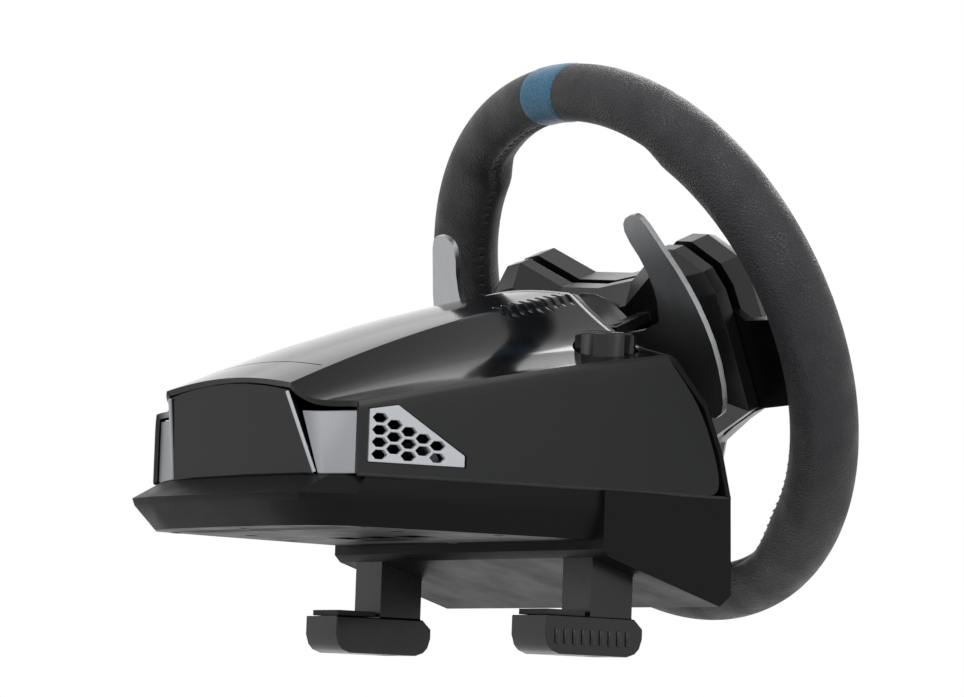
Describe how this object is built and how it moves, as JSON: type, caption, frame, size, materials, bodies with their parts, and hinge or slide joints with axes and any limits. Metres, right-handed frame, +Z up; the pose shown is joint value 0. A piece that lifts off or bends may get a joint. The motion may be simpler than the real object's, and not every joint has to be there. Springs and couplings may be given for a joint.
{
  "type": "racing wheel",
  "caption": "Desk-clamped racing wheel controller: glossy base with geared drive, leather rim, paddles, hub buttons and screw clamps.",
  "frame": {"origin": "on the flat underside of the base, where it sits on a table, on the centre plane", "axes": "+X to the driver's right, +Y forward away from the driver, +Z up"},
  "size_m": [0.2596, 0.2895, 0.2606],
  "materials": {
    "gloss_black": "polished black moulding",
    "satin_black": "fine-grained satin black moulding",
    "leather": "stitched black leather",
    "blue_leather": "blue leather band",
    "steel": "brushed",
    "dark_aluminium": "dark anodised",
    "rubber": "matt",
    "brass": "machined",
    "nylon": "moulded",
    "board": "coated board",
    "silver_plastic": "metallic silver moulding",
    "red_plastic": "red moulding"
  },
  "bodies": {
    "base": {"base_tray": "satin_black", "top_shell": "gloss_black", "rear_cover": "satin_black", "front_fascia": "gloss_black", "corner_panel_left": "silver_plastic", "corner_panel_right": "silver_plastic", "vent_grille_left": "silver_plastic", "vent_grille_right": "silver_plastic", "gearbox_rear_plate": "dark_aluminium", "motor_plate": "dark_aluminium", "bearing_rear": "steel", "bearing_front": "steel", "motor_left": "steel", "motor_right": "steel", "control_board": "board", "clamp_guide_left": "satin_black", "clamp_guide_right": "satin_black", "rubber_foot_front": "rubber", "rubber_foot_rear": "rubber", "pedal_port": "satin_black", "power_inlet": "satin_black", "shifter_port": "satin_black"},
    "steering": {"rim_grip": "leather", "rim_centre_mark": "blue_leather", "rim_core": "steel", "spoke_plate": "dark_aluminium", "hub_front": "satin_black", "hub_back": "satin_black", "hub_cap": "gloss_black", "column_shroud": "satin_black", "steering_shaft": "steel", "main_gear": "nylon"},
    "pinion_left": {"pinion_left": "brass"},
    "pinion_right": {"pinion_right": "brass"},
    "paddle_left": {"paddle_left": "steel"},
    "paddle_right": {"paddle_right": "steel"},
    "direction_pad_gimbal": {"direction_pad_gimbal": "nylon"},
    "direction_pad": {"direction_pad": "satin_black"},
    "selector_dial": {"selector_dial": "red_plastic"},
    "dial_button": {"dial_button": "satin_black"},
    "clamp_knob_left": {"clamp_knob_left": "satin_black", "clamp_screw_left": "steel"},
    "clamp_knob_right": {"clamp_knob_right": "satin_black", "clamp_screw_right": "steel"},
    "clamp_jaw_left": {"clamp_jaw_left": "satin_black", "jaw_pad_left": "rubber"},
    "clamp_jaw_right": {"clamp_jaw_right": "satin_black", "jaw_pad_right": "rubber"},
    "action_button_top": {"action_button_top": "satin_black"},
    "action_button_right": {"action_button_right": "satin_black"},
    "action_button_bottom": {"action_button_bottom": "satin_black"},
    "action_button_left": {"action_button_left": "satin_black"},
    "upper_button_left": {"upper_button_left": "satin_black"},
    "upper_button_right": {"upper_button_right": "satin_black"},
    "lower_button_left_outer": {"lower_button_left_outer": "satin_black"},
    "lower_button_left_inner": {"lower_button_left_inner": "satin_black"},
    "plus_button": {"plus_button": "satin_black"},
    "minus_button": {"minus_button": "satin_black"},
    "home_button": {"home_button": "satin_black"}
  },
  "joints": [
    {"name": "steering_turn", "type": "hinge", "parent": "base", "child": "steering", "pos_m": [0, -0.11, 0.093], "axis": [0, -0.9114, 0.4115], "range_deg": [-450, 450]},
    {"name": "pinion_left_spin", "type": "hinge", "parent": "base", "child": "pinion_left", "pos_m": [-0.0401, -0.02706, 0.05555], "axis": [0, -0.9114, 0.4115], "range_deg": [-1800, 1800]},
    {"name": "pinion_right_spin", "type": "hinge", "parent": "base", "child": "pinion_right", "pos_m": [0.0401, -0.02706, 0.05555], "axis": [0, -0.9114, 0.4115], "range_deg": [-1800, 1800]},
    {"name": "paddle_left_pull", "type": "hinge", "parent": "steering", "child": "paddle_left", "pos_m": [-0.036, -0.07645, 0.08224], "axis": [0, 0.4115, 0.9114], "range_deg": [0, 5], "stiffness_Nm_per_rad": 1.2, "springref_deg": -14.32},
    {"name": "paddle_right_pull", "type": "hinge", "parent": "steering", "child": "paddle_right", "pos_m": [0.036, -0.07645, 0.08224], "axis": [0, -0.4115, -0.9114], "range_deg": [0, 5], "stiffness_Nm_per_rad": 1.2, "springref_deg": -14.32},
    {"name": "direction_pad_pitch", "type": "hinge", "parent": "steering", "child": "direction_pad_gimbal", "pos_m": [-0.056, -0.11075, 0.11199], "axis": [1, 0, 0], "range_deg": [-6, 6], "stiffness_Nm_per_rad": 0.3},
    {"name": "direction_pad_roll", "type": "hinge", "parent": "direction_pad_gimbal", "child": "direction_pad", "pos_m": [-0.056, -0.11075, 0.11199], "axis": [0, 0.4115, 0.9114], "range_deg": [-6, 6], "stiffness_Nm_per_rad": 0.3},
    {"name": "selector_dial_turn", "type": "hinge", "parent": "steering", "child": "selector_dial", "pos_m": [0.049, -0.12994, 0.08116], "axis": [0, -0.9114, 0.4115], "continuous": true},
    {"name": "action_button_top_press", "type": "slide", "parent": "steering", "child": "action_button_top", "axis": [0, 0.9114, -0.4115], "range_m": [0, 0.0015], "stiffness_N_per_m": 500, "springref_m": -0.002},
    {"name": "action_button_right_press", "type": "slide", "parent": "steering", "child": "action_button_right", "axis": [0, 0.9114, -0.4115], "range_m": [0, 0.0015], "stiffness_N_per_m": 500, "springref_m": -0.002},
    {"name": "action_button_bottom_press", "type": "slide", "parent": "steering", "child": "action_button_bottom", "axis": [0, 0.9114, -0.4115], "range_m": [0, 0.0015], "stiffness_N_per_m": 500, "springref_m": -0.002},
    {"name": "action_button_left_press", "type": "slide", "parent": "steering", "child": "action_button_left", "axis": [0, 0.9114, -0.4115], "range_m": [0, 0.0015], "stiffness_N_per_m": 500, "springref_m": -0.002},
    {"name": "upper_button_left_press", "type": "slide", "parent": "steering", "child": "upper_button_left", "axis": [0, 0.9114, -0.4115], "range_m": [0, 0.0015], "stiffness_N_per_m": 500, "springref_m": -0.002},
    {"name": "upper_button_right_press", "type": "slide", "parent": "steering", "child": "upper_button_right", "axis": [0, 0.9114, -0.4115], "range_m": [0, 0.0015], "stiffness_N_per_m": 500, "springref_m": -0.002},
    {"name": "lower_button_left_outer_press", "type": "slide", "parent": "steering", "child": "lower_button_left_outer", "axis": [0, 0.9114, -0.4115], "range_m": [0, 0.0015], "stiffness_N_per_m": 500, "springref_m": -0.002},
    {"name": "lower_button_left_inner_press", "type": "slide", "parent": "steering", "child": "lower_button_left_inner", "axis": [0, 0.9114, -0.4115], "range_m": [0, 0.0015], "stiffness_N_per_m": 500, "springref_m": -0.002},
    {"name": "plus_button_press", "type": "slide", "parent": "steering", "child": "plus_button", "axis": [0, 0.9114, -0.4115], "range_m": [0, 0.0015], "stiffness_N_per_m": 500, "springref_m": -0.002},
    {"name": "minus_button_press", "type": "slide", "parent": "steering", "child": "minus_button", "axis": [0, 0.9114, -0.4115], "range_m": [0, 0.0015], "stiffness_N_per_m": 500, "springref_m": -0.002},
    {"name": "home_button_press", "type": "slide", "parent": "steering", "child": "home_button", "axis": [0, 0.9114, -0.4115], "range_m": [0, 0.0015], "stiffness_N_per_m": 500, "springref_m": -0.002},
    {"name": "dial_button_press", "type": "slide", "parent": "steering", "child": "dial_button", "axis": [0, 0.9114, -0.4115], "range_m": [0, 0.0015], "stiffness_N_per_m": 500, "springref_m": -0.002},
    {"name": "clamp_knob_left_turn", "type": "hinge", "parent": "base", "child": "clamp_knob_left", "pos_m": [-0.076, -0.0325, 0.077], "axis": [0, 0, -1], "range_deg": [-500, 770]},
    {"name": "clamp_jaw_left_lift", "type": "slide", "parent": "base", "child": "clamp_jaw_left", "axis": [0, 0, 1], "range_m": [-0.011, 0.017]},
    {"name": "clamp_knob_right_turn", "type": "hinge", "parent": "base", "child": "clamp_knob_right", "pos_m": [0.076, -0.0325, 0.077], "axis": [0, 0, -1], "range_deg": [-500, 770]},
    {"name": "clamp_jaw_right_lift", "type": "slide", "parent": "base", "child": "clamp_jaw_right", "axis": [0, 0, 1], "range_m": [-0.011, 0.017]}
  ],
  "couplings": [
    {"joint": "pinion_left_spin", "follows": "steering_turn", "ratio": -4},
    {"joint": "pinion_right_spin", "follows": "steering_turn", "ratio": -4},
    {"joint": "clamp_knob_left_turn", "follows": "clamp_jaw_left_lift", "rad_per_m": 785.4},
    {"joint": "clamp_knob_right_turn", "follows": "clamp_jaw_right_lift", "rad_per_m": 785.4}
  ]
}
